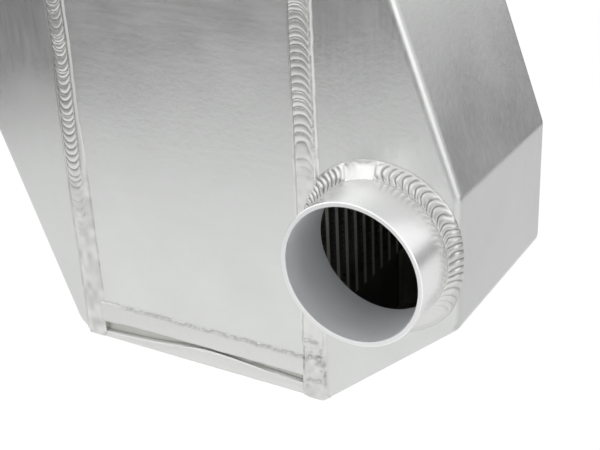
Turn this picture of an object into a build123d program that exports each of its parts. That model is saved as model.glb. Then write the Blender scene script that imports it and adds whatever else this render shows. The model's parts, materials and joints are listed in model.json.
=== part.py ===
"""Liquid-cooled charge air cooler: bar-and-plate core, two folded end tanks, welded seams.

Millimetres. +Z runs up along the long seams, the front side plate faces -Y, and the lower charge
pipe stands on the right-hand tank (+X). The origin is the middle of the bottom end plate's
underside, midway between the two tanks. Charge air crosses the core along X. Coolant enters and
leaves through the two bungs on top, down one half of the core and up the other.
"""

from build123d import *
from math import radians, tan
import os

os.makedirs("parts", exist_ok=True)

# Core stack, front to rear
charge_layers = 11
charge_gap = 6.35
coolant_gap = 3.2
parting_sheet = 0.4
side_plate = 2.5

# Core block
core_width = 152.4  # between the centre lines of the two long seams
overall_height = 330.2
end_plate = 3.0
header_height = 36.8  # clear height of a coolant header
header_end_wall = 3.0
charge_bar_height = 10.0
coolant_bar_width = 6.0

# Corrugated fins
charge_fin_leg = 4.4
charge_fin_thickness = 0.6  # measured along the fin's height, across a sloping leg
coolant_fin_leg = 6.0
coolant_fin_thickness = 0.5
fin_clearance = 0.05

# End tanks
tank_wall = 3.0
tank_reach = 83.4  # from the seam's centre line to the outer wall
tank_ledge = 7.3  # flat strip under the lower panel
tank_narrow = 12.0  # width left at the narrow end
lower_angle = 40.0  # of the lower panel above horizontal
taper_angle = 20.0  # of the long panel off vertical
ledge_radius = 7.0
lower_bend_radius = 8.0
upper_bend_radius = 10.0
narrow_radius = 14.0
tank_edge_radius = 4.0

# Charge pipes
pipe_radius = 38.1
pipe_spigot_radius = 37.5  # turned down under the ring weld and where it enters the tank
pipe_wall = 2.5
pipe_reach = 32.7  # rim to the front of the tank
pipe_from_wall = 42.4  # pipe axis to the tank's outer wall
pipe_height = 100.8  # pipe axis above the bottom of its tank
pipe_fit = 0.1
pipe_rim_chamfer = 0.4

# Welds
seam_gap = 2.0  # root opening between a tank and the core
seam_bead_width = 12.6
seam_bead_crown = 1.8
seam_end_radius = 3.0  # where the bead rolls over the ends of the core
closing_bead_top = 24.8  # upper toe of the closing bead, above the end plate's outer face
closing_bead_toe = 11.3  # its lower toe, which is the groove's upper edge
closing_bead_crown = 1.3
closing_bead_shoulder = 2.5  # from the upper toe down to the flat of its face
closing_bead_under = 4.0  # from the lower toe up to the flat of its face
closing_bead_roll = 6.0
side_plate_end = 16.8  # end of a side plate, hidden under the closing bead
# Weld along the groove's floor: share of the groove's half length, height above the end plate
groove_floor_line = [(-0.6, 0.0), (-0.34, 2.6), (-0.1, 6.3), (0.17, 7.3), (0.51, 5.8), (1.0, 3.9)]
ring_bead_width = 8.2
ring_bead_rise = 3.6
ring_bead_overhang = 2.2  # past the tank's outer wall, where the ring wraps the edge
ring_belly_out = 0.56  # the fullest point of the ring's face, as a share of its width
ring_belly_up = 0.66  # and as a share of its rise

# Coolant bungs
bung_spacing = 76.2
bung_radius = 18.0
bung_height = 18.0
bung_spigot_radius = 15.0
bung_thread_radius = 12.06  # minor radius of a 3/4 in parallel pipe thread
bung_fit = 0.1
bung_mouth_chamfer = 1.2
bung_bead = 4.0
bung_belly = 0.62  # the fullest point of its face, as a share of its leg

# Worked out from the above
coolant_layers = charge_layers - 1
layer_pitch = charge_gap + coolant_gap + 2 * parting_sheet
stack = charge_layers * charge_gap + coolant_layers * (coolant_gap + 2 * parting_sheet)
depth = stack + 2 * side_plate
front = -depth / 2
middle_height = overall_height / 2
seam_x = core_width / 2
block_width = core_width - seam_gap
block_bottom = end_plate + header_height
block_height = overall_height - 2 * block_bottom
first_charge_y = front + side_plate + charge_gap / 2
charge_ys = [first_charge_y + i * layer_pitch for i in range(charge_layers)]
coolant_ys = [y + layer_pitch / 2 for y in charge_ys[:-1]]
header_depth = stack - 2 * charge_gap
header_z = end_plate + header_height / 2
wall_x = seam_x + tank_reach
lower_bend_z = (tank_reach - tank_ledge) * tan(radians(lower_angle))
upper_bend_z = overall_height - (tank_reach - tank_narrow) / tan(radians(taper_angle))
pipe_x = wall_x - pipe_from_wall
pipe_hole_radius = pipe_spigot_radius + pipe_fit
pipe_axis = Axis((pipe_x, 0, pipe_height), (0, 1, 0))
top_face = overall_height - end_plate


def opposite(part):
    """The twin at the far corner: turned half round the depth axis, then handed front to rear."""
    turned = part.rotate(Axis((0, 0, middle_height), (0, 1, 0)), 180)
    return mirror(turned, about=Plane.XZ)


def upside_down(part):
    """The same piece at the other end of the core."""
    return mirror(part, about=Plane.XY.offset(middle_height))


def corrugation(run, height, leg, thickness):
    """Zigzag strip centred on the origin: it runs along its own Y and swings along X."""
    legs = round(run / leg)
    swing = (height - thickness) / 2
    middle = [
        (swing if i % 2 else -swing, run * (i / legs - 0.5)) for i in range(legs + 1)
    ]
    near = [(x - thickness / 2, y) for x, y in middle]
    far = [(x + thickness / 2, y) for x, y in reversed(middle)]
    with BuildSketch() as strip:
        with BuildLine():
            Polyline(*near, *far, close=True)
        make_face()
    return strip.sketch


def bead_section(width, crown):
    """Low arched section of a weld, flat side on its own X axis."""
    with BuildSketch() as section:
        with BuildLine():
            ThreePointArc((-width / 2, 0), (0, crown), (width / 2, 0))
            Line((width / 2, 0), (-width / 2, 0))
        make_face()
    return section.sketch


# ---------------------------------------------------------------- core block

with BuildPart() as front_side_plate:
    with Locations((0, front + side_plate / 2, middle_height)):
        Box(block_width, side_plate, overall_height - 2 * side_plate_end)

with BuildPart() as rear_side_plate:
    add(mirror(front_side_plate.part, about=Plane.XZ))

sheet_offset = (coolant_gap + parting_sheet) / 2
with BuildPart() as parting_sheets:
    with Locations(
        *[(0, y + s * sheet_offset, middle_height) for y in coolant_ys for s in (-1, 1)]
    ):
        Box(block_width, parting_sheet, block_height)

charge_fin_run = block_height - 2 * (charge_bar_height + fin_clearance)
charge_fin_height = charge_gap - 2 * fin_clearance
with BuildPart() as charge_fins:
    with BuildSketch(Plane.YZ):
        with Locations(*[(y, middle_height) for y in charge_ys]):
            add(corrugation(charge_fin_run, charge_fin_height, charge_fin_leg, charge_fin_thickness))
    extrude(amount=block_width / 2, both=True)

bar_z = block_bottom + charge_bar_height / 2
with BuildPart() as charge_edge_bars:
    with Locations(*[(0, y, z) for y in charge_ys for z in (bar_z, overall_height - bar_z)]):
        Box(block_width, charge_gap, charge_bar_height)

coolant_fin_run = block_width - 2 * (coolant_bar_width + fin_clearance)
coolant_fin_height = coolant_gap - 2 * fin_clearance
with BuildPart() as coolant_fins:
    with BuildSketch(Plane.XY.offset(block_bottom)):
        with Locations(*[Location((0, y), 90) for y in coolant_ys]):
            add(corrugation(coolant_fin_run, coolant_fin_height, coolant_fin_leg, coolant_fin_thickness))
    extrude(amount=block_height)

bar_x = (block_width - coolant_bar_width) / 2
with BuildPart() as coolant_edge_bars:
    with Locations(*[(s * bar_x, y, middle_height) for y in coolant_ys for s in (-1, 1)]):
        Box(coolant_bar_width, coolant_gap, block_height)

# ---------------------------------------------------------------- coolant headers

side_wall_y = (stack - charge_gap) / 2
with BuildPart() as bottom_header_side_walls:
    with Locations((0, -side_wall_y, header_z), (0, side_wall_y, header_z)):
        Box(block_width, charge_gap, header_height)

end_wall_x = (block_width - header_end_wall) / 2
with BuildPart() as bottom_header_end_walls:
    with Locations((-end_wall_x, 0, header_z), (end_wall_x, 0, header_z)):
        Box(header_end_wall, header_depth, header_height)

with BuildPart() as bottom_end_plate:
    with Locations((0, 0, end_plate / 2)):
        Box(block_width, depth, end_plate)

with BuildPart() as top_header_side_walls:
    add(upside_down(bottom_header_side_walls.part))

with BuildPart() as top_header_end_walls:
    add(upside_down(bottom_header_end_walls.part))

with BuildPart() as top_header_divider:
    with Locations((0, 0, overall_height - header_z)):
        Box(header_end_wall, header_depth, header_height)

bung_places = [(-bung_spacing / 2, 0), (bung_spacing / 2, 0)]
with BuildPart() as top_end_plate:
    add(upside_down(bottom_end_plate.part))
    with BuildSketch(Plane.XY.offset(overall_height)):
        with Locations(*bung_places):
            Circle(bung_spigot_radius + bung_fit)
    extrude(amount=-end_plate, mode=Mode.SUBTRACT)


def coolant_bung(place):
    """Turned boss: spigot through the end plate, shoulder on top of it, threaded bore."""
    with BuildPart() as boss:
        with BuildSketch(Plane.XY.offset(top_face)):
            with Locations(place):
                Circle(bung_spigot_radius)
        extrude(amount=end_plate)
        with BuildSketch(Plane.XY.offset(overall_height)):
            with Locations(place):
                Circle(bung_radius)
        extrude(amount=bung_height)
        with BuildSketch(Plane.XY.offset(top_face)):
            with Locations(place):
                Circle(bung_thread_radius)
        extrude(amount=end_plate + bung_height, mode=Mode.SUBTRACT)
        mouth = boss.faces().sort_by(Axis.Z)[-1]
        chamfer(mouth.edges(), length=bung_mouth_chamfer)
    return boss


coolant_inlet_bung = coolant_bung(bung_places[0])
coolant_outlet_bung = coolant_bung(bung_places[1])

bung_bead_middle = bung_bead * bung_belly
with BuildPart() as bung_welds:
    for x, _ in bung_places:
        root = (x + bung_radius, overall_height)
        toe = (root[0] + bung_bead, overall_height)
        top = (root[0], overall_height + bung_bead)
        with BuildSketch(Plane.XZ):
            with BuildLine():
                ThreePointArc(toe, (root[0] + bung_bead_middle, root[1] + bung_bead_middle), top)
                Polyline(top, root, toe)
            make_face()
        revolve(axis=Axis((x, 0, 0), (0, 0, 1)))

# ---------------------------------------------------------------- end tanks and charge pipes

mouth_x = seam_x + seam_gap / 2


def tank_form(inset):
    """Solid of the tank's outside, or of its hollow when it is set in by the wall."""
    with BuildPart() as form:
        with BuildSketch(Plane.XZ):
            with BuildLine():
                FilletPolyline(
                    (mouth_x, 0),
                    (seam_x + tank_ledge, 0),
                    (wall_x, lower_bend_z),
                    (wall_x, upper_bend_z),
                    (seam_x + tank_narrow, overall_height),
                    (mouth_x, overall_height),
                    radius=[ledge_radius, lower_bend_radius, upper_bend_radius, narrow_radius],
                )
                Line((mouth_x, overall_height), (mouth_x, 0))
            make_face()
            if inset:
                offset(amount=-inset)
        extrude(amount=depth / 2 - inset, both=True)
        # Every edge of the two flat sides but the first pair, which border the mouth
        rims = form.faces().filter_by(Axis.Y).edges().sort_by(Axis.X)[2:]
        fillet(rims, radius=tank_edge_radius - inset)
        if inset:
            extrude(form.faces().sort_by(Axis.X)[0], amount=2 * inset)
    return form.part


with BuildPart() as right_end_tank:
    add(tank_form(0))
    add(tank_form(tank_wall), mode=Mode.SUBTRACT)
    with BuildSketch(Plane.XZ.offset(depth / 2)):
        with Locations((pipe_x, pipe_height)):
            Circle(pipe_hole_radius)
    extrude(amount=-2 * tank_wall, mode=Mode.SUBTRACT)

with BuildPart() as left_end_tank:
    add(opposite(right_end_tank.part))

with BuildPart() as lower_charge_pipe:
    with BuildSketch(Plane.XZ.offset(depth / 2 - tank_wall)):
        with Locations((pipe_x, pipe_height)):
            Circle(pipe_spigot_radius)
    extrude(amount=tank_wall + ring_bead_rise)
    with BuildSketch(Plane.XZ.offset(depth / 2 + ring_bead_rise)):
        with Locations((pipe_x, pipe_height)):
            Circle(pipe_radius)
    extrude(amount=pipe_reach - ring_bead_rise)
    with BuildSketch(Plane.XZ.offset(depth / 2 - tank_wall)):
        with Locations((pipe_x, pipe_height)):
            Circle(pipe_radius - pipe_wall)
    extrude(amount=tank_wall + pipe_reach, mode=Mode.SUBTRACT)
    rim = lower_charge_pipe.faces().sort_by(Axis.Y)[0]
    chamfer(rim.edges(), length=pipe_rim_chamfer)

with BuildPart() as upper_charge_pipe:
    add(opposite(lower_charge_pipe.part))

# ---------------------------------------------------------------- welds

ring_inner = pipe_hole_radius
ring_outer = pipe_hole_radius + ring_bead_width
with BuildPart() as lower_pipe_weld:
    crest = (pipe_x + ring_inner, front - ring_bead_rise)
    belly_x = pipe_x + ring_inner + ring_bead_width * ring_belly_out
    belly = (belly_x, front - ring_bead_rise * ring_belly_up)
    foot = (pipe_x + ring_outer, front)
    with BuildSketch(Plane.XY.offset(pipe_height)):
        with BuildLine():
            ThreePointArc(crest, belly, foot)
            Polyline(foot, (pipe_x + ring_inner, front), crest)
        make_face()
    revolve(axis=pipe_axis)
    # Where the pipe comes close to the outer wall, the ring wraps the tank's rounded edge.
    with BuildSketch(Plane.XZ.offset(depth / 2)):
        with Locations((pipe_x, pipe_height)):
            Circle(ring_outer)
            Circle(ring_inner, mode=Mode.SUBTRACT)
        with Locations((wall_x - tank_edge_radius, pipe_height)):
            Rectangle(
                2 * ring_outer,
                2 * ring_outer,
                align=(Align.MIN, Align.CENTER),
                mode=Mode.INTERSECT,
            )
    extrude(amount=-tank_wall)
    with Locations((wall_x + ring_bead_overhang, 0, pipe_height)):
        Box(
            ring_outer,
            2 * depth,
            2 * ring_outer,
            align=(Align.MIN, Align.CENTER, Align.CENTER),
            mode=Mode.SUBTRACT,
        )
    add(right_end_tank.part, mode=Mode.SUBTRACT)

with BuildPart() as upper_pipe_weld:
    add(opposite(lower_pipe_weld.part))

corner_fill_z = side_plate_end / 2
corner_fill_y = (depth - side_plate) / 2
with BuildPart() as right_seam_weld:
    with Locations((seam_x, 0, middle_height)):
        Box(seam_gap, depth, overall_height)
        inside = (seam_gap, depth - 2 * side_plate, overall_height - 2 * end_plate)
        Box(*inside, mode=Mode.SUBTRACT)
    with BuildSketch(Plane.XY):
        with Locations(Location((seam_x, front), 180), Location((seam_x, -front), 0)):
            add(bead_section(seam_bead_width, seam_bead_crown))
    extrude(amount=overall_height)
    # Weld metal closes the ends of the grooves and fills out the tank's rounded corners.
    with Locations(
        *[
            (seam_x, s * corner_fill_y, z)
            for s in (-1, 1)
            for z in (corner_fill_z, overall_height - corner_fill_z)
        ]
    ):
        Box(seam_bead_width, side_plate, side_plate_end)
    with BuildSketch(Plane.YZ.offset(seam_x)):
        with Locations((0, middle_height)):
            RectangleRounded(depth + 2 * seam_bead_crown, overall_height, seam_end_radius)
    extrude(amount=seam_bead_width / 2, both=True, mode=Mode.INTERSECT)
    for neighbour in (
        right_end_tank,
        front_side_plate,
        rear_side_plate,
        bottom_end_plate,
        top_end_plate,
        lower_pipe_weld,
    ):
        add(neighbour.part, mode=Mode.SUBTRACT)
    with BuildSketch(Plane.XZ.offset(depth / 2 - side_plate)):
        with Locations((pipe_x, pipe_height)):
            Circle(pipe_hole_radius)
    extrude(amount=side_plate + pipe_reach, mode=Mode.SUBTRACT)

with BuildPart() as left_seam_weld:
    add(opposite(right_seam_weld.part))

with BuildPart() as bottom_front_closing_weld:
    with BuildSketch(Plane.YZ):
        with BuildLine():
            FilletPolyline(
                (front, closing_bead_top),
                (front - closing_bead_crown, closing_bead_top - closing_bead_shoulder),
                (front - closing_bead_crown, closing_bead_toe + closing_bead_under),
                (front + side_plate, closing_bead_toe),
                radius=closing_bead_roll,
            )
            Polyline(
                (front + side_plate, closing_bead_toe),
                (front + side_plate, side_plate_end),
                (front, side_plate_end),
                (front, closing_bead_top),
            )
        make_face()
    extrude(amount=block_width / 2, both=True)
    add(right_seam_weld.part, mode=Mode.SUBTRACT)
    add(left_seam_weld.part, mode=Mode.SUBTRACT)

with BuildPart() as bottom_rear_closing_weld:
    add(mirror(bottom_front_closing_weld.part, about=Plane.XZ))

with BuildPart() as top_front_closing_weld:
    add(upside_down(bottom_front_closing_weld.part))

with BuildPart() as top_rear_closing_weld:
    add(upside_down(bottom_rear_closing_weld.part))

# A mound of weld runs along the floor of each groove and nearly closes it.
groove_half_length = seam_x - seam_bead_width / 2
mound_line = [(share * groove_half_length, end_plate + rise) for share, rise in groove_floor_line]
with BuildPart() as groove_floor_welds:
    with BuildSketch(Plane.XZ.offset(depth / 2)):
        with BuildLine():
            Spline(*mound_line)
            Polyline(mound_line[-1], (groove_half_length, end_plate), mound_line[0])
        make_face()
    extrude(amount=-side_plate)
    mirror(about=Plane.XZ)
    mirror(about=Plane.XY.offset(middle_height))

# ---------------------------------------------------------------- one STEP file for each piece

pieces = {
    "front_side_plate": front_side_plate,
    "rear_side_plate": rear_side_plate,
    "parting_sheets": parting_sheets,
    "charge_fins": charge_fins,
    "charge_edge_bars": charge_edge_bars,
    "coolant_fins": coolant_fins,
    "coolant_edge_bars": coolant_edge_bars,
    "bottom_header_side_walls": bottom_header_side_walls,
    "bottom_header_end_walls": bottom_header_end_walls,
    "bottom_end_plate": bottom_end_plate,
    "top_header_side_walls": top_header_side_walls,
    "top_header_end_walls": top_header_end_walls,
    "top_header_divider": top_header_divider,
    "top_end_plate": top_end_plate,
    "coolant_inlet_bung": coolant_inlet_bung,
    "coolant_outlet_bung": coolant_outlet_bung,
    "bung_welds": bung_welds,
    "right_end_tank": right_end_tank,
    "left_end_tank": left_end_tank,
    "lower_charge_pipe": lower_charge_pipe,
    "upper_charge_pipe": upper_charge_pipe,
    "lower_pipe_weld": lower_pipe_weld,
    "upper_pipe_weld": upper_pipe_weld,
    "right_seam_weld": right_seam_weld,
    "left_seam_weld": left_seam_weld,
    "bottom_front_closing_weld": bottom_front_closing_weld,
    "bottom_rear_closing_weld": bottom_rear_closing_weld,
    "top_front_closing_weld": top_front_closing_weld,
    "top_rear_closing_weld": top_rear_closing_weld,
    "groove_floor_welds": groove_floor_welds,
}
for name, piece in pieces.items():
    piece.part.label = name
    export_step(piece.part, f"parts/{name}.step")
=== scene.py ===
"""Looks of the liquid-cooled charge air cooler: bare aluminium, rippled welds and studio light.

The model stands as it was packed: +Z runs up the long seams, -Y out of the front side plate and +X
towards the tank with the lower pipe. Blender works in metres, while the beads and fins are worked
out in millimetres. The weld beads get a rippled skin over the plain solids, and the charge fins get
a finer pitch.
"""

import json
from itertools import product
from math import cos, pi, radians, sin

import bpy
import numpy as np
from mathutils import Matrix, Vector


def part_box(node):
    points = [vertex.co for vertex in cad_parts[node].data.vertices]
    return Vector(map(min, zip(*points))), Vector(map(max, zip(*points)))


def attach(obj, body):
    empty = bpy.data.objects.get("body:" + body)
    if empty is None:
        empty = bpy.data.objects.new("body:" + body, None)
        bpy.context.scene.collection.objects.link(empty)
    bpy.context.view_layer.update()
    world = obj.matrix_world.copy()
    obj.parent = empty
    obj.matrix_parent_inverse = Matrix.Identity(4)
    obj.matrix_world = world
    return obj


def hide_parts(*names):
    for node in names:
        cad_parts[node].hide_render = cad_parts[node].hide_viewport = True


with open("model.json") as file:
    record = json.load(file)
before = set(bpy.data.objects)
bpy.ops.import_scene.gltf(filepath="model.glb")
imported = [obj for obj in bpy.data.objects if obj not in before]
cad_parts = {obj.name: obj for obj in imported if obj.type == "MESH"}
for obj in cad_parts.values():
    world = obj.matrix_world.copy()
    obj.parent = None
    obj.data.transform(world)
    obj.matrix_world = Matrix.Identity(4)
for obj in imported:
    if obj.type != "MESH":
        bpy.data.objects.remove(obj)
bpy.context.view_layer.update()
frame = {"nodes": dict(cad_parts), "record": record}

MM = 0.001

# ---------------------------------------------------------------- places read from the frame


def box_of(node):
    """Low and high corner of a node's box, in millimetres."""
    low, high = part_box(node)
    return np.array(low) / MM, np.array(high) / MM


FACE = box_of("front_side_plate")[0][1]  # the front of the side plate and of both tanks
WALL, _, TOP = box_of("right_end_tank")[1]
END_PLATE = box_of("bottom_end_plate")[1][2]
GROOVE_FLOOR = box_of("bottom_header_side_walls")[0][1]
seam_low, seam_high = box_of("right_seam_weld")
SEAM = (seam_low[0] + seam_high[0]) / 2
LAY_END = seam_low[0]  # where the closing beads and groove lips run under the seam beads
pipe_low, pipe_high = box_of("lower_charge_pipe")
AXIS_X, _, AXIS_Z = (pipe_low + pipe_high) / 2
PIPE_OUTSIDE = (pipe_high[0] - pipe_low[0]) / 2
closing_low, closing_high = box_of("bottom_front_closing_weld")
CLOSING_BOTTOM, CLOSING_TOP = closing_low[2], closing_high[2]

# ---------------------------------------------------------------- materials

# Dark colour for painted shade in the welds' creases and valleys, and for their dull patches
SOOT_AND_SHADE = (0.20, 0.20, 0.19)
CLOUDS = (28.0, 28.0, 28.0)  # scale of the stains, about 36 mm across
PRESSINGS = (260.0, 260.0, 330.0)  # scale of the handling dents, about 4 mm across
BUMP_DEPTH = 0.1 * MM
ROUGH_SPREAD = 0.03
NOISE_LOW, NOISE_HIGH = 0.3, 0.7  # where nearly all of the noise lies


def stretched_noise(nodes, links, scale, detail=4.0, roughness=0.55):
    """Noise over the object's own coordinates, stretched by the scale along each axis."""
    place = nodes.new("ShaderNodeTexCoord")
    mapping = nodes.new("ShaderNodeMapping")
    mapping.inputs["Scale"].default_value = scale
    texture = nodes.new("ShaderNodeTexNoise")
    texture.inputs["Scale"].default_value = 1.0
    texture.inputs["Detail"].default_value = detail
    texture.inputs["Roughness"].default_value = roughness
    links.new(place.outputs["Object"], mapping.inputs["Vector"])
    links.new(mapping.outputs["Vector"], texture.inputs["Vector"])
    return texture.outputs["Fac"]


def remap(nodes, links, noise, low, high):
    """Noise spread over the range from low to high."""
    spread = nodes.new("ShaderNodeMapRange")
    spread.inputs["From Min"].default_value = NOISE_LOW
    spread.inputs["From Max"].default_value = NOISE_HIGH
    spread.inputs["To Min"].default_value = low
    spread.inputs["To Max"].default_value = high
    links.new(noise, spread.inputs["Value"])
    return spread.outputs["Result"]


def bumped(nodes, links, relief, strength):
    """Bump node over the given relief."""
    bump = nodes.new("ShaderNodeBump")
    bump.inputs["Strength"].default_value = strength
    bump.inputs["Distance"].default_value = BUMP_DEPTH
    links.new(relief, bump.inputs["Height"])
    return bump


def aluminium(name, tone, rough, grain, bump=0.02, smut=0.04, dents=0.0, metallic=1.0):
    """Bare aluminium: a fine grain, cloudy stains, painted shade and dull patches on welds, handling
    dents.

    grain is the scale of its lines along each axis. Stains take the share smut off its tone. bump
    and dents say how strong the relief of the grain and of the dents is.
    """
    material = bpy.data.materials.new(name)
    material.use_nodes = True
    nodes, links = material.node_tree.nodes, material.node_tree.links
    shader = nodes["Principled BSDF"]
    shader.inputs["Metallic"].default_value = metallic
    lines = stretched_noise(nodes, links, grain)
    clouds = stretched_noise(nodes, links, CLOUDS, detail=5.0, roughness=0.5)
    marks = stretched_noise(nodes, links, PRESSINGS, detail=4.0, roughness=0.6)

    line_rough = remap(nodes, links, lines, -ROUGH_SPREAD, ROUGH_SPREAD)
    cloud_rough = remap(nodes, links, clouds, rough - ROUGH_SPREAD, rough + ROUGH_SPREAD)
    total = nodes.new("ShaderNodeMath")
    total.operation = "ADD"
    links.new(line_rough, total.inputs[0])
    links.new(cloud_rough, total.inputs[1])
    links.new(total.outputs[0], shader.inputs["Roughness"])

    stained = nodes.new("ShaderNodeMix")
    stained.data_type = "RGBA"
    dull = [channel * (1.0 - smut) for channel in tone]
    stained.inputs["A"].default_value = (*dull, 1.0)
    stained.inputs["B"].default_value = (*tone, 1.0)
    links.new(remap(nodes, links, clouds, 0.0, 1.0), stained.inputs["Factor"])
    # A point attribute on the weld skins mixes in a dark colour: painted shade in their creases and
    # valleys, and dull patches.
    creases = nodes.new("ShaderNodeAttribute")
    creases.attribute_name = "soot_and_shade"
    soot_and_shade_mix = nodes.new("ShaderNodeMix")
    soot_and_shade_mix.data_type = "RGBA"
    soot_and_shade_mix.inputs["B"].default_value = (*SOOT_AND_SHADE, 1.0)
    links.new(creases.outputs["Fac"], soot_and_shade_mix.inputs["Factor"])
    links.new(stained.outputs["Result"], soot_and_shade_mix.inputs["A"])
    links.new(soot_and_shade_mix.outputs["Result"], shader.inputs["Base Color"])

    grained = bumped(nodes, links, lines, bump)
    pressed = bumped(nodes, links, marks, dents)
    links.new(grained.outputs["Normal"], pressed.inputs["Normal"])
    links.new(pressed.outputs["Normal"], shader.inputs["Normal"])
    return material


EVEN = (200.0, 200.0, 200.0)  # grain of the core's cut faces
FROSTED = (900.0, 900.0, 900.0)  # grain of weld metal
PLATE = aluminium(
    "plate_aluminium", (0.71, 0.72, 0.71), 0.38, (40.0, 40.0, 500.0),
    bump=0.0, smut=0.07, dents=0.9,
)
TANK = aluminium(
    "tank_aluminium", (0.68, 0.69, 0.68), 0.34, (500.0, 500.0, 40.0),
    bump=0.0, smut=0.07, dents=0.7,
)
PIPE = aluminium("pipe_aluminium", (0.97, 0.97, 0.97), 0.30, (60.0, 2500.0, 60.0), bump=0.06)
PIPE_BORE = aluminium("pipe_bore_aluminium", (0.84, 0.85, 0.86), 0.70, (60.0, 900.0, 60.0))
RIM = aluminium("rim_aluminium", (0.80, 0.80, 0.80), 0.40, (60.0, 60.0, 60.0))
BUNG = aluminium("bung_aluminium", (0.80, 0.81, 0.81), 0.28, (60.0, 60.0, 2500.0), bump=0.06)
WELD = aluminium("weld_aluminium", (0.76, 0.76, 0.75), 0.36, FROSTED)
MELTED = aluminium("melted_aluminium", (0.75, 0.75, 0.74), 0.58, FROSTED)
# Header walls that floor the grooves, darker: painted shade in the grooves, with more stains.
SHADED_HEADER = aluminium("shaded_header_aluminium", (0.58, 0.58, 0.55), 0.50, EVEN, smut=0.15)
BARS = aluminium("bar_aluminium", (0.74, 0.74, 0.67), 0.55, EVEN, smut=0.20, metallic=0.4)
# Dark metal of the core; on the tanks' inner faces and the seam welds' faces between tank and core
# it is painted shade.
CORE_AND_INNER_SHADE = aluminium("core_and_inner_shade_aluminium", (0.32, 0.31, 0.29), 0.55, EVEN, smut=0.35)

SLOT_MATERIAL = {
    "plate": PLATE, "tank": TANK, "pipe": PIPE, "weld": WELD, "bung": BUNG, "core": CORE_AND_INNER_SHADE,
}
SEAM_SHELL = 2.0  # how deep a seam weld keeps its own metal, in millimetres; deeper in, it gets painted shade
BORE_LEAN = 0.5  # how squarely a face of the bore looks at the pipe's axis
RIM_LEAN = 0.9  # how squarely a face of the rim looks along it


def middle_of(node):
    """Middle of a node's box, in metres."""
    low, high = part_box(node)
    return (Vector(low) + Vector(high)) / 2


def paint_faces(node, material, chosen):
    """One more material on a solid, for the faces that chosen picks."""
    mesh = frame["nodes"][node].data
    mesh.materials.append(material)
    for face in mesh.polygons:
        if chosen(face):
            face.material_index = len(mesh.materials) - 1


def in_bore(node):
    """Picks the faces that look at the axis of a pipe."""
    middle = middle_of(node)

    def chosen(face):
        spoke = face.center - middle
        spoke.y = 0.0
        return spoke.dot(face.normal) < -BORE_LEAN * spoke.length

    return chosen


def on_rim(face):
    """Picks the faces at the ends of a pipe."""
    return abs(face.normal.y) > RIM_LEAN


def facing_inward(node):
    """Picks the faces that look at the middle of a node."""
    middle = middle_of(node)
    return lambda face: (face.center - middle).dot(face.normal) < 0.0


def inside_joint(face):
    """Picks the faces of a seam weld that lie between tank and core."""
    return abs(face.center.y) < (-FACE - SEAM_SHELL) * MM


def dress_solids():
    """The material of its slot on each solid, and others on the faces and nodes that differ."""
    for row in frame["record"]["subparts"]:
        materials = frame["nodes"][row["node"]].data.materials
        materials.clear()
        materials.append(SLOT_MATERIAL[row["material_slot"]])
    for name in ("lower_charge_pipe", "upper_charge_pipe"):
        paint_faces(name, PIPE_BORE, in_bore(name))
        paint_faces(name, RIM, on_rim)
    # The tanks' inner faces and the seam welds' faces between tank and core get the dark core metal:
    # painted shade.
    for name in ("right_end_tank", "left_end_tank"):
        paint_faces(name, CORE_AND_INNER_SHADE, facing_inward(name))
    for name in ("right_seam_weld", "left_seam_weld"):
        paint_faces(name, CORE_AND_INNER_SHADE, inside_joint)
    # The header walls get a darker metal: painted shade in the grooves.
    for name in ("bottom_header_side_walls", "top_header_side_walls"):
        frame["nodes"][name].data.materials[0] = SHADED_HEADER
    frame["nodes"]["coolant_edge_bars"].data.materials[0] = BARS


dress_solids()

# ---------------------------------------------------------------- what all beads share, in mm

SUNK = 0.5  # how far a skin's underside lies below the metal
CREST_POWER = 2.2  # how full the back of a ripple is
TANK_EDGE_RADIUS = 4.0
KNOTS = 256


def rumple(seed):
    """Smooth random surface from -1 to 1, with a new value at each whole number, both ways.

    A bead divides a length in millimetres by the size of its waves. It reads along lines far apart
    where values should have nothing in common, which is what the bare numbers in its calls are for.
    """
    knots = np.random.default_rng(seed).uniform(-1.0, 1.0, (KNOTS, KNOTS))

    def value(x, y=0.0):
        x, y = np.broadcast_arrays(np.asarray(x, float), np.asarray(y, float))
        i, j = np.floor(x).astype(int), np.floor(y).astype(int)
        a, b = x - i, y - j
        a, b = a * a * (3.0 - 2.0 * a), b * b * (3.0 - 2.0 * b)
        i, j, right, up = i % KNOTS, j % KNOTS, (i + 1) % KNOTS, (j + 1) % KNOTS
        near = knots[i, j] * (1 - a) + knots[right, j] * a
        far = knots[i, up] * (1 - a) + knots[right, up] * a
        return near * (1 - b) + far * b

    return value


def fade(value, start, end):
    """0 at start, 1 at end, smooth between. start may be the larger one."""
    share = np.clip((value - start) / (end - start), 0.0, 1.0)
    return share * share * (3.0 - 2.0 * share)


def ridge(value, width):
    """1 where value is 0, falling away on both sides."""
    return np.exp(-((value / width) ** 2))


def steady(value):
    """The same value all along a bead."""
    return lambda along: np.full(np.shape(along), value)


def through(pairs):
    """Straight lines through pairs of place and value."""
    places, values = zip(*pairs)
    return lambda at: np.interp(at, places, values)


def rounded_off(distance, radius):
    """How far a rounded edge has fallen back at a distance from its end."""
    return radius - np.sqrt(radius**2 - np.maximum(radius - distance, 0.0) ** 2)


def ripples(phase, pitch, valley_width):
    """The ripples' rounded backs, from 0 to 1, and how close each point is to a valley."""
    part = phase - np.floor(phase)
    crest = 1.0 - np.abs(2.0 * part - 1.0) ** CREST_POWER
    return crest, ridge(np.minimum(part, 1.0 - part) * pitch, valley_width)


def new_object(name, points, faces):
    """Object in the scene with its mesh, from points in metres."""
    mesh = bpy.data.meshes.new(name)
    mesh.from_pydata(points, [], faces)
    piece = bpy.data.objects.new(name, mesh)
    bpy.context.scene.collection.objects.link(piece)
    return piece, mesh


def as_made(points):
    """The points where they are."""
    return points


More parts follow.
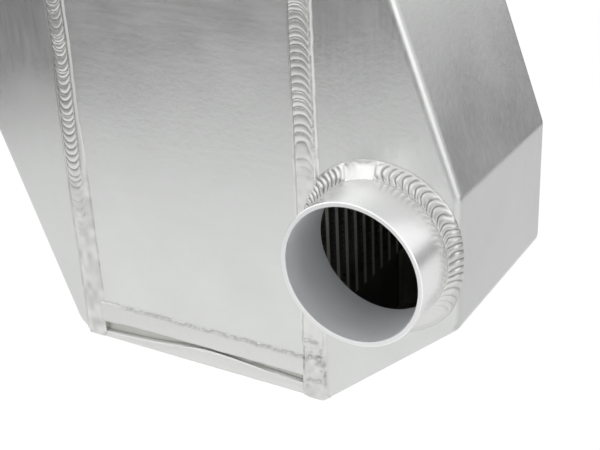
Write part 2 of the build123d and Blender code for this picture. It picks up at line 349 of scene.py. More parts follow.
def opposite(points):
    """The same points on the twin bead at the far corner."""
    return points * (-1.0, -1.0, -1.0) + (0.0, 0.0, TOP)


def mirrored(behind, above):
    """Moves points from the bottom of the front to the rear, to the top, or both."""
    flip = (1.0, -1.0 if behind else 1.0, -1.0 if above else 1.0)
    lift = (0.0, 0.0, TOP if above else 0.0)
    return lambda points: points * flip + lift


def skin(name, front, under, soot_and_shade, placed=as_made, closed=False, material=WELD):
    """Closed mesh over a bead. Each row crosses its front and comes back by the points under it.

    The fourth argument is how dark each front point is, from 0 to 1: painted shade in creases
    and valleys, and dull patches. placed moves the bead to where it belongs.
    closed joins the last row to the first. The sides down to the points under the bead are flat.
    """
    rows = placed(np.concatenate([front, under], axis=1))
    soot_and_shade = np.concatenate([soot_and_shade, np.zeros(under.shape[:2])], axis=1)
    count, across = rows.shape[:2]
    i = np.arange(count if closed else count - 1)[:, None]
    j = np.arange(across)[None, :]
    here, there, beside = i * across, (i + 1) % count * across, (j + 1) % across
    quads = np.stack([here + j, here + beside, there + beside, there + j], axis=-1).reshape(-1, 4)
    points = rows.reshape(-1, 3) * MM
    a, b, c = (points[quads[:, corner]] for corner in range(3))
    volume = np.einsum("ij,ij->i", a - points[0], np.cross(b - points[0], c - points[0])).sum()
    faces = quads.tolist()
    if not closed:
        faces.append(list(reversed(range(across))))
        faces.append(list(range((count - 1) * across, count * across)))
    if volume < 0.0:
        faces = [face[::-1] for face in faces]
    piece, mesh = new_object(name, points.tolist(), faces)
    layer = mesh.attributes.new("soot_and_shade", "FLOAT", "POINT")
    layer.data.foreach_set("value", soot_and_shade.ravel())
    on_front = np.arange(across) < front.shape[1] - 1
    smooth = np.zeros(len(faces), bool)
    smooth[: len(quads)] = np.tile(on_front, len(quads) // across)
    mesh.polygons.foreach_set("use_smooth", smooth)
    mesh.materials.append(material)
    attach(piece, "root")
    return piece


# ---------------------------------------------------------------- long seams

SEAM_ROWS, SEAM_COLUMNS = 830, 43
SEAM_END_GAP = 0.05  # keeps a skin's ends inside the ends of the solid
TOE_HALF = 8.1  # from the middle of a bead to the end of its toe
TOE_HEIGHT = 1.65
CRISP_POWER = 1.6  # how full a toe is where it ends sharply
SOFT_POWER = 2.2  # and how hollow where it ends softly
TOE_WAVER = 0.03  # how unevenly a toe ends, as a share of its reach
MELT_WAVER = 0.045
TOE_ROUGHNESS = 0.07
BODY_EDGE_HEIGHT = 1.9
BODY_CROWN = 0.6
CREASE_WIDTH = 0.45  # between body and toe
CREASE_DEPTH = 0.42
RIPPLE_DEPTH = 0.55
VALLEY_WIDTH = 0.42
BOW_POWER = 2.6
TURN_WANDER = 0.45  # how unevenly the ripples follow each other, in pitches
TURN_KINKS = 0.05
LINE_WANDER = 0.25  # how far a bead strays from its line
# painted shade in the ripples' valleys and along the crease between body and toe
CREASE_SHADE = 0.75
MELT_SOOT = 0.26  # the melted stretches are duller than the ripples
MELT_LUMPS = 0.20
CREST_ROOM = 0.1  # how far a bead may rise above its crown
CREST_BLEND = 0.2  # how softly it is held down there
END_RADIUS = 3.0
PIPE_ROOM = 1.0  # between a seam's skin and the pipe


def held_down(height, z, room):
    """Height that stays under the bead's crown and rolls off at both ends."""
    limit = BODY_EDGE_HEIGHT + BODY_CROWN + CREST_ROOM + room
    limit = limit - rounded_off(np.minimum(z, TOP - z), END_RADIUS)
    return 0.5 * (height + limit - np.sqrt((height - limit) ** 2 + CREST_BLEND))


def clear_of_pipe(x, z):
    """x, held back where it would come too near the lower pipe."""
    reach = np.sqrt(np.maximum((PIPE_OUTSIDE + PIPE_ROOM) ** 2 - (z - AXIS_Z) ** 2, 0.0))
    return np.where(reach > 0, np.minimum(x, AXIS_X - reach), x)


def seam_section(edge, half, body_half, strength, crispness):
    """A bead's height before its ripples, how far out on the toe each point is, and the crease.

    edge is the distance from the bead's middle, half where the toe ends, and body_half where the
    ripples end.
    """
    arch = BODY_EDGE_HEIGHT + BODY_CROWN * (1.0 - np.minimum(edge / body_half, 1.0) ** 2)
    outward = np.clip((edge - body_half) / (half - body_half), 0.0, 1.0)
    crisp = crispness * strength
    crisp_toe, soft_toe = 1.0 - outward**CRISP_POWER, (1.0 - outward) ** SOFT_POWER
    toe = TOE_HEIGHT * (crisp_toe * crisp + soft_toe * (1.0 - crisp))
    crease = ridge(edge - body_half, CREASE_WIDTH)
    height = np.where(edge < body_half, arch, toe)
    return height - CREASE_DEPTH * crease * (0.25 + 0.75 * strength), outward, crease


def seam_skin(
    name, side, upward, seed, pitch_at, strength_at, body, bows,
    toes=(steady(TOE_HALF), steady(TOE_HALF)), crisp_at=(steady(1.0), steady(1.0)),
    drift_at=steady(0.0), room_at=steady(0.0), melt_soot=MELT_SOOT, marks=None, cut=False,
    placed=as_made,
):
    """Seam bead on the front: a rippled body between two smooth toes, melted where strength is low.

    side is +1 for the right seam and -1 for the left. upward is +1 where the ripples bow upward
    and -1 where they hang. Each pair is for the left and the right of the bead: body is where the
    ripples end, bows how far their ends trail there, in pitches, toes how far out the toes reach,
    and crisp_at how sharply they end. pitch_at is the ripples' pitch and strength_at how plain
    they are. drift_at is how far the bead leaves its line, and room_at how far it may rise above
    its usual crown. melt_soot is how dull it is where it melted. marks gives extra height and
    darkening, partly painted shade. cut keeps the bead clear of the pipe, and placed moves it to
    where it belongs.
    """
    random = rumple(seed)
    z = np.linspace(SEAM_END_GAP, TOP - SEAM_END_GAP, SEAM_ROWS)[:, None]
    share = np.linspace(-1.0, 1.0, SEAM_COLUMNS)[None, :]
    right = share > 0
    strength = strength_at(z)
    melted = 1.0 - strength
    waver = TOE_WAVER * random(z / 5.0, 9.5 + right)
    waver = waver + MELT_WAVER * melted * random(z / 2.6, 12.5 + right)
    half = np.where(right, toes[1](z), toes[0](z)) * (1.0 + waver)
    across = share * half
    edge = np.abs(across)
    body_half = np.where(right, body[1], body[0])

    pitch = pitch_at(z)
    turns = upward * np.cumsum((z[1] - z[0]) / pitch, axis=0) + TURN_WANDER * random(z / 9.0, 3.5)
    bow = np.where(right, bows[1], bows[0]) * (edge / body_half) ** BOW_POWER
    phase = turns + bow + TURN_KINKS * random(z / 2.0, across / 3.0)
    crest, valley = ripples(phase, pitch, VALLEY_WIDTH)
    inside = fade(edge, body_half, body_half - 1.0)
    swell = 0.8 + 0.35 * random(np.floor(phase), 60.0)

    crispness = np.where(right, crisp_at[1](z), crisp_at[0](z))
    height, outward, crease = seam_section(edge, half, body_half, strength, crispness)
    height = height + RIPPLE_DEPTH * strength * swell * inside * (crest - 1.0)
    height = height + TOE_ROUGHNESS * random(across / 2.5, z / 4.0) * fade(outward, 1.0, 0.6)
    lumps = random(z / 4.2, across / 3.0 + 80.0) * fade(outward, 1.0, 0.3)
    height = height + MELT_LUMPS * lumps * melted

    speckled = 0.75 + 0.45 * random(z / 0.9, 50.5 + right)
    # Painted shade in the ripples' valleys and in the crease between body and toe; dull blotches
    # where the bead melted.
    soot_and_shade = CREASE_SHADE * strength * (valley * inside * strength + speckled * crease)
    blotches = 1.0 + 0.9 * random(z / 5.0, across / 3.5 + 70.0)
    soot_and_shade = np.maximum(soot_and_shade, melt_soot * blotches * melted)
    if marks:
        more, dark = marks(across, z)
        height, soot_and_shade = height + more, soot_and_shade + dark

    height = held_down(height, z, room_at(z))
    on_tank = fade(side * across, 5.0, TOE_HALF)
    height = height - rounded_off(np.minimum(z, TOP - z), TANK_EDGE_RADIUS) * on_tank
    x = side * SEAM + across + LINE_WANDER * random(z / 30.0, 20.5) + drift_at(z)
    if cut:
        x = clear_of_pipe(x, z)
    front = np.stack([x, FACE - height, np.broadcast_to(z, x.shape)], axis=-1)
    under = front[:, [-1, 0]] + (0.0, SUNK, 0.0)
    skin(name, front, under, np.clip(soot_and_shade, 0.0, 1.0), placed)


# Where the left bead leaves its line: height and distance
LEFT_DRIFT = [(0.0, 0.0), (120.0, 0.0), (144.0, 0.5), (175.0, 1.5), (205.0, 1.3), (330.0, 0.0)]


def left_strength(z):
    """The left bead's ripples are faint below about 100 mm and full above it."""
    return 0.14 + 0.22 * fade(z, 66.0, 78.0) + 0.64 * fade(z, 98.0, 116.0)


def left_bead_right_toe(z):
    """The left bead's toe reaches further over the side plate where the bead melted."""
    return 6.9 + 1.9 * fade(z, 150.0, 105.0) * fade(z, 12.0, 17.0)


def left_toe_line(across, z):
    """Painted shade: a faint dark line where the left bead's toe lies on the side plate, and a
    darker flank above about 110 mm that holds down the reflection on the toe's slope.
    """
    line = 0.30 * ridge(across - 8.4, 0.7) * fade(z, 125.0, 105.0) * fade(z, 24.0, 40.0)
    flank = 0.32 * ridge(across - 6.4, 1.0) * fade(z, 100.0, 125.0)
    return np.zeros_like(across), line + flank


def right_pitch(z):
    """The right bead's ripples are further apart in its lower half."""
    return 4.0 + fade(z, 175.0, 160.0)


def right_strength(z):
    """The right bead's ripples melt together below about 140 mm."""
    return 0.06 + 0.84 * fade(z, 132.0, 158.0)


def right_bead_left_toe(z):
    """The right bead's toe reaches further over the side plate where the bead melted."""
    return 6.9 + 1.2 * fade(z, 165.0, 130.0)


def right_bead_left_crispness(z):
    """The right bead's toe on the side plate ends softly below about 180 mm."""
    return fade(z, 165.0, 190.0)


def right_room(z):
    """The knots at the right bead's lower end stand above its crown."""
    return 1.4 * fade(z, 42.0, 34.0)


# Creases in the knotted lower end of the right seam: from and to, as (across, height) pairs
CORNER_CREASES = [
    ((-7.5, 33.0), (-7.2, 24.0)),
    ((-6.5, 23.0), (-1.0, 27.0)),
    ((-1.0, 27.0), (4.5, 27.6)),
    ((2.6, 28.0), (7.4, 22.0)),
    ((5.3, 19.2), (7.3, 17.2)),
    ((7.2, 17.5), (7.8, 8.0)),
    ((-4.0, 11.2), (5.0, 13.0)),
    ((4.8, 33.5), (5.2, 28.5)),
]
CORNER_SEED = 41
CORNER_CREASE_WIDTH = 1.1
CORNER_CREASE_DEPTH = 0.75
# painted shade in the corner's creases
CORNER_CREASE_SHADE = 0.42
CORNER_BEND = 0.9  # how far its creases stray from straight lines


def stroke_distance(across, z, start, end):
    """How far each point lies from the line between start and end."""
    run, climb = end[0] - start[0], end[1] - start[1]
    aside, above = across - start[0], z - start[1]
    share = np.clip((aside * run + above * climb) / (run**2 + climb**2), 0.0, 1.0)
    return np.hypot(aside - share * run, above - share * climb)


def corner_knots(across, z):
    """Lumps and creases where the seam, the ring and the closing bead end together, with painted
    shade in the creases.
    """
    random = rumple(CORNER_SEED)
    low = fade(z, 44.0, 36.0)
    aslant, upright = 0.8 * across + 0.6 * z, 0.8 * z - 0.6 * across
    lumps = 0.75 * random(aslant / 6.0, upright / 5.0) + 0.3 * random(aslant / 2.6, upright / 2.3)
    height = low * (0.5 + 1.3 * lumps) * fade(np.abs(across), TOE_HALF - 0.6, TOE_HALF - 4.0)
    height = height + 1.1 * ridge(across + 6.7, 1.1) * fade(z, 27.0, 23.0)
    dark = 0.11 * low * (1.0 + random(across / 3.0, z / 4.0 + 50.0))
    bent_across = across + CORNER_BEND * random(z / 2.2, 30.5)
    bent_z = z + CORNER_BEND * random(across / 2.2, 40.5)
    broken = 0.55 + 0.45 * random(aslant / 1.4, upright / 1.4)
    for start, end in CORNER_CREASES:
        distance = stroke_distance(bent_across, bent_z, start, end)
        crease = ridge(distance, CORNER_CREASE_WIDTH) * broken
        height = height - CORNER_CREASE_DEPTH * crease
        dark = dark + CORNER_CREASE_SHADE * crease
    return height, dark


seam_skin(
    "left_seam_front_ripples", side=-1, upward=-1, seed=1,
    pitch_at=steady(4.1), strength_at=left_strength, body=(4.8, 5.1), bows=(1.05, 1.05),
    toes=(steady(7.6), left_bead_right_toe), drift_at=through(LEFT_DRIFT), marks=left_toe_line,
)
seam_skin(
    "right_seam_front_ripples", side=1, upward=1, seed=2,
    pitch_at=right_pitch, strength_at=right_strength, body=(5.0, 6.2), bows=(0.45, 1.5),
    toes=(right_bead_left_toe, steady(7.7)), crisp_at=(right_bead_left_crispness, steady(1.0)),
    room_at=right_room, melt_soot=0.05, marks=corner_knots, cut=True,
)
seam_skin(
    "right_seam_rear_ripples", side=-1, upward=-1, seed=3,
    pitch_at=steady(4.3), strength_at=steady(1.0), body=(5.4, 5.4), bows=(1.0, 1.0),
    placed=opposite,
)
seam_skin(
    "left_seam_rear_ripples", side=1, upward=1, seed=4,
    pitch_at=steady(4.6), strength_at=steady(1.0), body=(5.4, 5.4), bows=(0.8, 0.8),
    cut=True, placed=opposite,
)

# ---------------------------------------------------------------- rings round pipes and bungs

RING_COLUMNS = 30
RING_BOW = 0.95  # how far the ends of a ring's ripples trail, in pitches
RING_WANDER = 0.35  # how unevenly they follow each other, in pitches
RING_KINKS = 0.12
RING_VALLEY_WIDTH = 0.58
RING_WAVER = 0.025  # how unevenly a ring's toe ends, as a share of its width
RING_LUMPS = 0.10
HOLLOW_POWER = 1.5
PIPE_RING_STEPS = 700
PIPE_RING_WIDTH = 8.8
PIPE_RING_RISE = 4.7
PIPE_RIPPLE_DEPTH = 0.85
PIPE_RING_FOOT = 280.0  # the angle where both halves of a pipe's ring meet
CORNER_SLACK = 1.2  # a ring turns round the tank's edge on an arc that much wider
BUNG_RING_STEPS = 400
BUNG_BEAD = 4.4
BUNG_RIPPLE_DEPTH = 0.28
BUNG_PITCH = 2.6
BUNG_STRENGTH = 0.9
BUNG_GRIME = 0.05
BUNG_RING_FOOT = 180.0
# Angle and strength: ripples fade out below the pipe, and over its top, where the weld starts and
# stops
PIPE_RING_STRENGTH = [
    (-80, 0.0), (-42, 0.08), (-25, 0.4), (-5, 0.9), (86, 1.0), (92, 0.05), (114, 0.05),
    (119, 1.0), (172, 1.0), (200, 0.8), (260, 0.3), (280, 0.0),
]
# Angle and darkening: the ring is duller at the right, painted shade over its upper right and top
# holds down its highlight, and it is clean over the left
PIPE_RING_GRIME_AND_SHADE = [
    (-80, 0.12), (-10, 0.06), (10, 0.26), (80, 0.24), (95, 0.14), (115, 0.12), (125, 0.0),
    (280, 0.05),
]


def pipe_ring_pitch(angle):
    """The ripples lie closer over the left half of a pipe's ring."""
    return np.where(angle > 103.0, 3.3, 4.0)


def on_tank_face(angle, radius, height):
    """Place on the tank's front, bent round the edge where the ring reaches the outer wall."""
    x = AXIS_X + radius * np.cos(angle)
    z = AXIS_Z + radius * np.sin(angle)
    y = FACE - height
    bend_x, bend_y = WALL - TANK_EDGE_RADIUS, FACE + TANK_EDGE_RADIUS
    arc_radius = TANK_EDGE_RADIUS + CORNER_SLACK
    beyond = np.maximum(x - bend_x, 0.0)
    turn = np.minimum(beyond / arc_radius, pi / 2)
    rest = np.maximum(beyond - pi / 2 * arc_radius, 0.0)
    bent = beyond > 0.0
    x = np.where(bent, bend_x + (TANK_EDGE_RADIUS + height) * np.sin(turn), x)
    y = np.where(bent, bend_y - (TANK_EDGE_RADIUS + height) * np.cos(turn) + rest, y)
    return np.stack([x, y, z], axis=-1)


def ring_section(share, rise, strength):
    """A ring's height before its ripples, its slope, and how far it keeps its round shape.

    share is 0 at the pipe and 1 at the toe. The bead is hollow where its ripples melted.
    """
    fullness = 1.15 + 0.75 * strength
    held = 0.3 + 0.7 * fade(strength, 0.0, 0.35)
    full, hollow = 1.0 - share**fullness, (1.0 - share) ** HOLLOW_POWER
    height = rise * (full * held + hollow * (1.0 - held))
    return height, fullness * rise * share ** (fullness - 1.0), held


def ring_skin(
    name, seed, steps, place, inner, width, rise, depth, pitch_at, strength_at, grime_and_shade_at, foot,
    placed=as_made,
):
    """Fillet bead round a pipe or bung, with ripples that run up both sides from the angle foot.

    place turns angle, radius and height into a point. inner is the outer radius of the pipe, width
    how far the bead spreads from it, rise how high it climbs up it, and depth how deep its ripples
    are. Pitch, strength and darkening, partly painted shade, go by the angle in degrees.
    """
    random = rumple(seed)
    around = np.linspace(foot - 360.0, foot, steps, endpoint=False)[:, None]
    share = np.linspace(0.0, 1.0, RING_COLUMNS)[None, :]
    angle = np.radians(around)
    arc = angle * (inner + width / 2)
    pitch = pitch_at(around)
    strength = strength_at(around)
    direction = np.where(around > foot - 180.0, -1.0, 1.0)
    turns = np.cumsum((arc[1] - arc[0]) / pitch, axis=0) * direction
    phase = turns + RING_WANDER * random(arc / 8.0, 2.5) + RING_BOW * (2.0 * share - 1.0) ** 2
    phase = phase + RING_KINKS * random(arc / 2.0, share * 3.0)
    crest, valley = ripples(phase, pitch, RING_VALLEY_WIDTH)
    inside = fade(share, 0.0, 0.12) * fade(share, 1.0, 0.84)
    swell = 0.85 + 0.3 * random(np.floor(phase), 90.0)

    wide = width * (1.0 + RING_WAVER * random(arc / 3.0, 12.5))
    radius = inner + wide * share
    height, slope, held = ring_section(share, rise, strength)
    size = np.hypot(slope, wide)
    push = depth * strength * swell * inside * (crest - 0.6)
    push = push + RING_LUMPS * random(arc / 4.0, share * 4.0 + 30.0) * inside
    radius = radius + push * slope / size
    height = height + push * wide / size
    # Painted shade in the ripples' valleys, and the darkening by angle; darker near the toe where
    # the bead is hollow.
    soot_and_shade = np.maximum(0.98 * valley * inside * strength, grime_and_shade_at(around))
    soot_and_shade = soot_and_shade + 0.2 * (1.0 - held) * ridge(share - 0.85, 0.12)

    front = place(angle + 0.0 * radius, radius, height)
    outer_foot = radius[:, -1:] - 0.6
    inner_foot = np.full(outer_foot.shape, inner - 0.4)
    feet = np.concatenate([outer_foot, inner_foot], axis=1)
    under = place(angle + 0.0 * feet, feet, np.full(feet.shape, -SUNK))
    return skin(name, front, under, soot_and_shade, placed, closed=True)


def pipe_ring(name, node, seed, placed):
    """Ring weld of a charge pipe, in place of the plain one."""
    piece = ring_skin(
        name, seed, PIPE_RING_STEPS, on_tank_face, PIPE_OUTSIDE, PIPE_RING_WIDTH, PIPE_RING_RISE,
        PIPE_RIPPLE_DEPTH, pipe_ring_pitch, through(PIPE_RING_STRENGTH), through(PIPE_RING_GRIME_AND_SHADE),
        PIPE_RING_FOOT, placed,
    )
    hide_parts(node)


def bung_ring(name, node, seed):
    """Small ring weld round the foot of a bung, on the top end plate."""
    low, high = box_of(node)
    middle_x = (low[0] + high[0]) / 2
    outside = (high[0] - low[0]) / 2

    def on_end_plate(angle, radius, height):
        x, y = middle_x + radius * np.cos(angle), radius * np.sin(angle)
        return np.stack([x, y, TOP + height], axis=-1)

    ring_skin(
        name, seed, BUNG_RING_STEPS, on_end_plate, outside, BUNG_BEAD, BUNG_BEAD,
        BUNG_RIPPLE_DEPTH, steady(BUNG_PITCH), steady(BUNG_STRENGTH), steady(BUNG_GRIME),
        BUNG_RING_FOOT,
    )


pipe_ring("lower_ring_ripples", "lower_pipe_weld", 7, as_made)
pipe_ring("upper_ring_ripples", "upper_pipe_weld", 8, opposite)
bung_ring("coolant_inlet_ring_ripples", "coolant_inlet_bung", 11)
bung_ring("coolant_outlet_ring_ripples", "coolant_outlet_bung", 12)

# ---------------------------------------------------------------- charge fins

CHARGE_LAYERS = 11
FIN_HEIGHT = 6.25  # across its channel, with a little room at both sheets
FIN_LEG = 1.6  # how far one leg of the zigzag rises
FIN_SHEET = 0.25


def fine_fins():
    """One zigzag strip for each charge channel, open along X, in place of the coarse fins."""
    low, high = box_of("charge_fins")
    pitch = (high[1] - low[1] - FIN_HEIGHT) / (CHARGE_LAYERS - 1)
    swing = (FIN_HEIGHT - FIN_SHEET) / 2
    legs = round((high[2] - low[2]) / FIN_LEG)
    bends = legs + 1
    z = np.linspace(low[2], high[2], bends)
    points, faces = [], []
    for layer in range(CHARGE_LAYERS):
        middle = low[1] + FIN_HEIGHT / 2 + layer * pitch
        y = middle + swing * np.where(np.arange(bends) % 2, 1.0, -1.0)
        first = len(points)
        for x, shift in product((low[0], high[0]), (-FIN_SHEET / 2, FIN_SHEET / 2)):
            points += [(x * MM, (across + shift) * MM, up * MM) for across, up in zip(y, z)]
        left_near, left_far, right_near, right_far = (first + k * bends for k in range(4))
        for i in range(legs):
            faces.append((left_near + i, right_near + i, right_near + i + 1, left_near + i + 1))
            faces.append((left_far + i + 1, right_far + i + 1, right_far + i, left_far + i))
            faces.append((left_near + i + 1, left_far + i + 1, left_far + i, left_near + i))
            faces.append((right_near + i, right_far + i, right_far + i + 1, right_near + i + 1))
        for i in (0, legs):
            faces.append((left_near + i, left_far + i, right_far + i, right_near + i))
    piece, mesh = new_object("fine_charge_fins", points, faces)
    mesh.validate()
    mesh.materials.append(CORE_AND_INNER_SHADE)
    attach(piece, "root")
    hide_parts("charge_fins")


fine_fins()

# ---------------------------------------------------------------- closing beads and groove lips
# Both are made at the bottom of the front and mirrored to their places

CLOSING_ROWS = 340
CLOSING_PROUD = 1.55
CLOSING_EDGE_GAP = 0.1  # how far a closing bead reaches below the solid one
TOE_COLUMNS, FACE_COLUMNS, FALL_COLUMNS = 9, 14, 10
TOE_ROUND = 2.2  # how far below its toe a closing bead reaches its full height
EDGE_ROUND = 3.6  # how far above its lower edge it starts to fall away
EDGE_DROOP = 1.3  # how far that edge hangs at the left
CREASED_COLUMNS = 7  # the columns at the toe that painted shade darkens
FLOOR_GAP = 0.1  # between the skins and the groove's floor
GROOVE_REACH = GROOVE_FLOOR - FACE - FLOOR_GAP
LIP_ROWS = 240
OVER_COLUMNS, DOWN_COLUMNS = 8, 12
LIP_ROUND = 1.8
LIP_PROUD = 0.35
LIP_SWELL = 0.45
LIP_COVER = 0.1  # how far the skin stands above the solid lip
LIP_FOOT = 0.06  # height where it ends, just above the end plate's lower face
LIP_SMOOTHING = 25  # rows over which the lip's line is evened out
# Share of the way from the middle to the end, and the lip's height above the end plate
LIP_LINE = [
    (-1.0, 0.9), (-0.8, 1.5), (-0.6, 2.4), (-0.34, 4.2), (-0.1, 6.4), (0.17, 7.3), (0.51, 5.8),
    (1.0, 3.9),
]


def closing_skin(name, seed, placed):
    """Broad flat bead over the end of a side plate, ragged along its toe."""
    random = rumple(seed)
    x = np.linspace(-LAY_END, LAY_END, CLOSING_ROWS)[:, None]
    toe = CLOSING_TOP + 0.5 * random(x / 3.4, 1.5) + 0.3 * random(x / 1.3, 4.5)
    edge = CLOSING_BOTTOM - CLOSING_EDGE_GAP + 0.35 * random(x / 7.0, 8.5)
    edge = edge - EDGE_DROOP * fade(x, -44.0, -64.0)
    proud = CLOSING_PROUD + 0.10 * random(x / 2.4, 14.5)

    rise = np.linspace(0.0, pi / 2, TOE_COLUMNS)[None, :]
    toe_z = toe - TOE_ROUND * (1.0 - np.cos(rise))
    toe_height = proud * np.sin(rise) ** 0.9
    face = np.linspace(0.06, 0.94, FACE_COLUMNS)[None, :]
    face_z = (toe - TOE_ROUND) * (1.0 - face) + (edge + EDGE_ROUND) * face
    face_height = proud + 0.16 * np.sin(pi * face) + 0.10 * random(x / 2.6, face * 3.0 + 20.0)
    fall = np.linspace(0.0, pi / 2, FALL_COLUMNS)[None, :]
    fall_z = edge + EDGE_ROUND * (1.0 - np.sin(fall))
    fall_height = -GROOVE_REACH + (proud + GROOVE_REACH) * np.cos(fall)
    z = np.concatenate([toe_z, face_z, fall_z], axis=1)
    height = np.concatenate([toe_height, face_height, fall_height], axis=1)

    speckled = np.clip(0.8 + 0.5 * random(x / 1.2, 30.5), 0.3, 1.0) * fade(x, -68.0, -45.0)
    soot_and_shade = np.full(z.shape, 0.02)
    crease = ridge(np.linspace(-1.0, 1.0, CREASED_COLUMNS)[None, :], 0.9)
    # Painted shade along the toe, where the bead stands proud of the side plate.
    soot_and_shade[:, :CREASED_COLUMNS] += 0.5 * speckled * crease
    front = np.stack([x + 0.0 * z, FACE - height, z], axis=-1)
    under = np.stack([x, np.full(x.shape, FACE + GROOVE_REACH), toe - 2.0], axis=-1)
    skin(name, front, under, soot_and_shade, placed, material=MELTED)


def lip_line(x):
    """Height of the lip's upper edge above the end plate, evened out along its rows."""
    rough = through(LIP_LINE)(x[:, 0] / LAY_END)
    weights = np.hanning(LIP_SMOOTHING + 2)[1:-1]
    padded = np.pad(rough, LIP_SMOOTHING // 2, mode="edge")
    return np.convolve(padded, weights / weights.sum(), mode="valid")[:, None]


def lip_skin(name, seed, placed):
    """Rounded lip of weld along the groove's floor and the end plate's edge."""
    random = rumple(seed)
    x = np.linspace(-LAY_END, LAY_END, LIP_ROWS)[:, None]
    waves = 0.25 * random(x / 3.0, 2.5) * fade(x, -44.0, -30.0)
    top = END_PLATE + lip_line(x) + LIP_COVER + waves

    over = np.linspace(pi / 2, 0.0, OVER_COLUMNS)[None, :]
    over_z = top - LIP_ROUND * (1.0 - np.sin(over))
    over_height = -GROOVE_REACH + (GROOVE_REACH + LIP_PROUD) * np.cos(over) + 0.0 * x
    down = np.linspace(0.05, 1.0, DOWN_COLUMNS)[None, :]
    down_z = (top - LIP_ROUND) * (1.0 - down) + LIP_FOOT * down
    down_height = LIP_PROUD + LIP_SWELL * np.sin(pi * down)
    down_height = down_height + 0.12 * random(x / 4.0, down * 2.0 + 9.0)
    z = np.concatenate([over_z, down_z], axis=1)
    height = np.concatenate([over_height, down_height], axis=1)

    front = np.stack([x + 0.0 * z, FACE - height, z], axis=-1)
    inner_y, inner_z = np.full(x.shape, FACE + GROOVE_REACH), np.full(x.shape, LIP_FOOT)
    under = np.stack([x, inner_y, inner_z], axis=-1)
    skin(name, front, under, np.zeros(z.shape), placed, material=MELTED)


for number, (level, face_name) in enumerate(product(("bottom", "top"), ("front", "rear"))):
    in_place = mirrored(behind=face_name == "rear", above=level == "top")
    closing_skin(f"{level}_{face_name}_closing_ripples", 20 + number, in_place)
    lip_skin(f"{level}_{face_name}_groove_lip", 30 + number, in_place)

# ---------------------------------------------------------------- camera, floor and light, in metres

CAMERA_PLACE = Vector((0.35725, -0.52579, 0.37098))
CAMERA_AZIMUTH = 31.41
CAMERA_ELEVATION = 25.95
CAMERA_ROLL = -2.86
CAMERA_LENS = 71.43  # in millimetres, as is the sensor's width
SENSOR_WIDTH = 36.0
NEAR_CLIP = 0.01

TABLE_LEFT = -0.42
TABLE_RIGHT = 0.65
TABLE_FRONT_LEFT = -0.36  # its front edge runs aslant
TABLE_FRONT_RIGHT = -1.0
TABLE_BACK = 0.47
TABLE_GREY = 0.80  # for the light that bounces off it
SEEN_GREY = 0.20  # for the rays that see it, with the glow added
SEEN_GLOW = 0.90
FILL_GREY = 0.5
ROOM_RADIUS = 2.2
ROOM_SIDES = 24  # of each half
ROOM_FLOOR = -0.9
ROOM_WALL = 0.30
ROOM_SLOPE = 0.02  # the wall is higher in front than behind
ROOM_GREY = 0.18
ROOM_BACK_GREY = 0.27
# Grey card on the table right of the object, seen only in reflections: a painted shadow of the
# object
SHADOW_CARD = [(0.17, -0.12), (0.45, -0.12), (0.45, 0.42), (0.17, 0.42)]
SHADOW_CARD_HEIGHT = 0.002
SHADOW_CARD_GREY = 0.80
MIDDLE = Vector((0.0, 0.0, 0.15))


def photographer():
    """The camera, looking down on the lower pipe from the right."""
    data = bpy.data.cameras.new("camera")
    data.lens = CAMERA_LENS
    data.sensor_width = SENSOR_WIDTH
    data.clip_start = NEAR_CLIP
    camera = bpy.data.objects.new("camera", data)
    turn = Matrix.Rotation(radians(CAMERA_AZIMUTH), 4, "Z")
    tilt = Matrix.Rotation(radians(90.0 - CAMERA_ELEVATION), 4, "X")
    roll = Matrix.Rotation(radians(CAMERA_ROLL), 4, "Z")
    camera.matrix_world = Matrix.Translation(CAMERA_PLACE) @ turn @ tilt @ roll
    bpy.context.scene.collection.objects.link(camera)
    bpy.context.scene.camera = camera


def sees_background(nodes, links):
    """1 for the rays that see the white ground: camera, glossy and transmission rays."""
    path = nodes.new("ShaderNodeLightPath")
    first = nodes.new("ShaderNodeMath")
    first.operation = "MAXIMUM"
    links.new(path.outputs["Is Camera Ray"], first.inputs[0])
    links.new(path.outputs["Is Glossy Ray"], first.inputs[1])
    either = nodes.new("ShaderNodeMath")
    either.operation = "MAXIMUM"
    links.new(first.outputs[0], either.inputs[0])
    links.new(path.outputs["Is Transmission Ray"], either.inputs[1])
    return either.outputs[0]


def grey_shader(nodes, kind, grey):
    """Shader node of one kind, in a grey."""
    shader = nodes.new(kind)
    shader.inputs["Color"].default_value = (grey, grey, grey, 1.0)
    return shader


def bare_material(mesh, name):
    """Nodes, links and output of a new material on a mesh, with no shader yet."""
    material = bpy.data.materials.new(name)
    material.use_nodes = True
    nodes, links = material.node_tree.nodes, material.node_tree.links
    nodes.clear()
    mesh.materials.append(material)
    return nodes, links, nodes.new("ShaderNodeOutputMaterial")


def studio_floor():
    """White table top: its colour makes the white ground, and it keeps the object's soft shadow."""
    corners = [
        (TABLE_LEFT, TABLE_FRONT_LEFT, 0.0),
        (TABLE_RIGHT, TABLE_FRONT_RIGHT, 0.0),
        (TABLE_RIGHT, TABLE_BACK, 0.0),
        (TABLE_LEFT, TABLE_BACK, 0.0),
    ]
    floor_piece, mesh = new_object("floor", corners, [(0, 1, 2, 3)])
    nodes, links, out = bare_material(mesh, "floor_white")
    lit = grey_shader(nodes, "ShaderNodeBsdfDiffuse", TABLE_GREY)
    seen = grey_shader(nodes, "ShaderNodeBsdfDiffuse", SEEN_GREY)
    glow = grey_shader(nodes, "ShaderNodeEmission", SEEN_GLOW)
    ground = nodes.new("ShaderNodeAddShader")
    links.new(seen.outputs[0], ground.inputs[0])
    links.new(glow.outputs[0], ground.inputs[1])
    mix = nodes.new("ShaderNodeMixShader")
    links.new(sees_background(nodes, links), mix.inputs["Fac"])
    links.new(lit.outputs[0], mix.inputs[1])
    links.new(ground.outputs[0], mix.inputs[2])
    links.new(mix.outputs[0], out.inputs["Surface"])


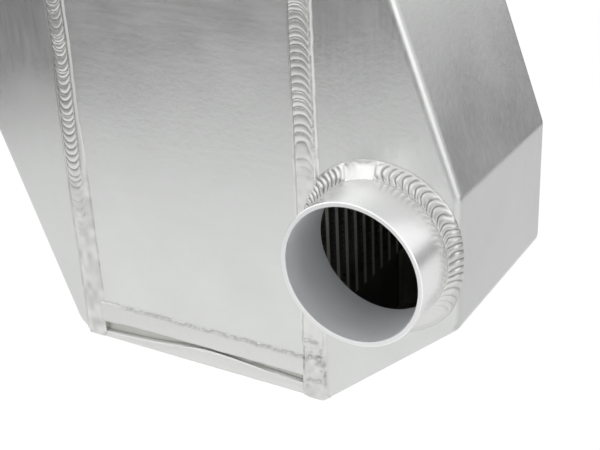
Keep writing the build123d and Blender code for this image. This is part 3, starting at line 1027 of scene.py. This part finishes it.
def studio_world():
    """White background, and an even fill light for everything matt."""
    world = bpy.data.worlds.new("studio")
    bpy.context.scene.world = world
    world.use_nodes = True
    nodes, links = world.node_tree.nodes, world.node_tree.links
    fill = nodes["Background"]
    fill.inputs["Color"].default_value = (FILL_GREY, FILL_GREY, FILL_GREY, 1.0)
    white = grey_shader(nodes, "ShaderNodeBackground", 1.0)
    mix = nodes.new("ShaderNodeMixShader")
    links.new(sees_background(nodes, links), mix.inputs["Fac"])
    links.new(fill.outputs[0], mix.inputs[1])
    links.new(white.outputs[0], mix.inputs[2])
    links.new(mix.outputs[0], nodes["World Output"].inputs["Surface"])


def reflected_only(name, points, faces, grey):
    """Glowing grey sheet that only the metal's reflections see."""
    sheet, mesh = new_object(name, points, faces)
    nodes, links, out = bare_material(mesh, name + "_grey")
    glow = grey_shader(nodes, "ShaderNodeEmission", grey)
    links.new(glow.outputs[0], out.inputs["Surface"])
    sheet.visible_camera = False
    sheet.visible_diffuse = False
    sheet.visible_shadow = False


def dark_room():
    """Grey room round and below the table, and a grey card on it beside the right tank: a painted
    shadow of the object on the table that only reflections see.
    """
    for part, start, grey in (("front", pi, ROOM_GREY), ("back", 0.0, ROOM_BACK_GREY)):
        turns = [start + pi * i / ROOM_SIDES for i in range(ROOM_SIDES + 1)]
        ring = [(ROOM_RADIUS * cos(turn), ROOM_RADIUS * sin(turn)) for turn in turns]
        low = [(x, y, ROOM_FLOOR) for x, y in ring]
        high = [(x, y, ROOM_WALL - ROOM_SLOPE * y) for x, y in ring]
        above = len(ring)
        walls = [(i, i + 1, above + i + 1, above + i) for i in range(ROOM_SIDES)]
        reflected_only(f"room_{part}", low + high, walls + [tuple(range(above))], grey)
    shadow_card = [(x, y, SHADOW_CARD_HEIGHT) for x, y in SHADOW_CARD]
    reflected_only("reflected_shadow_card", shadow_card, [(0, 1, 2, 3)], SHADOW_CARD_GREY)


def softbox(name, place, size, power):
    """Square area lamp at place, facing the middle of the object."""
    data = bpy.data.lights.new(name, "AREA")
    data.shape = "SQUARE"
    data.size = size
    data.energy = power
    lamp = bpy.data.objects.new(name, data)
    lamp.location = place
    lamp.rotation_euler = (MIDDLE - Vector(place)).to_track_quat("-Z", "Y").to_euler()
    bpy.context.scene.collection.objects.link(lamp)


photographer()
studio_floor()
studio_world()
dark_room()
softbox("overhead", (-0.3, -0.2, 1.5), 2.6, 4.0)
softbox("front_top", (-0.9, -1.4, 1.1), 1.0, 2.4)
softbox("left_side", (-1.3, -0.2, 0.5), 1.5, 2.0)
softbox("right_side", (1.3, -0.7, 0.4), 1.3, 4.0)

bpy.context.scene.view_settings.view_transform = "Standard"
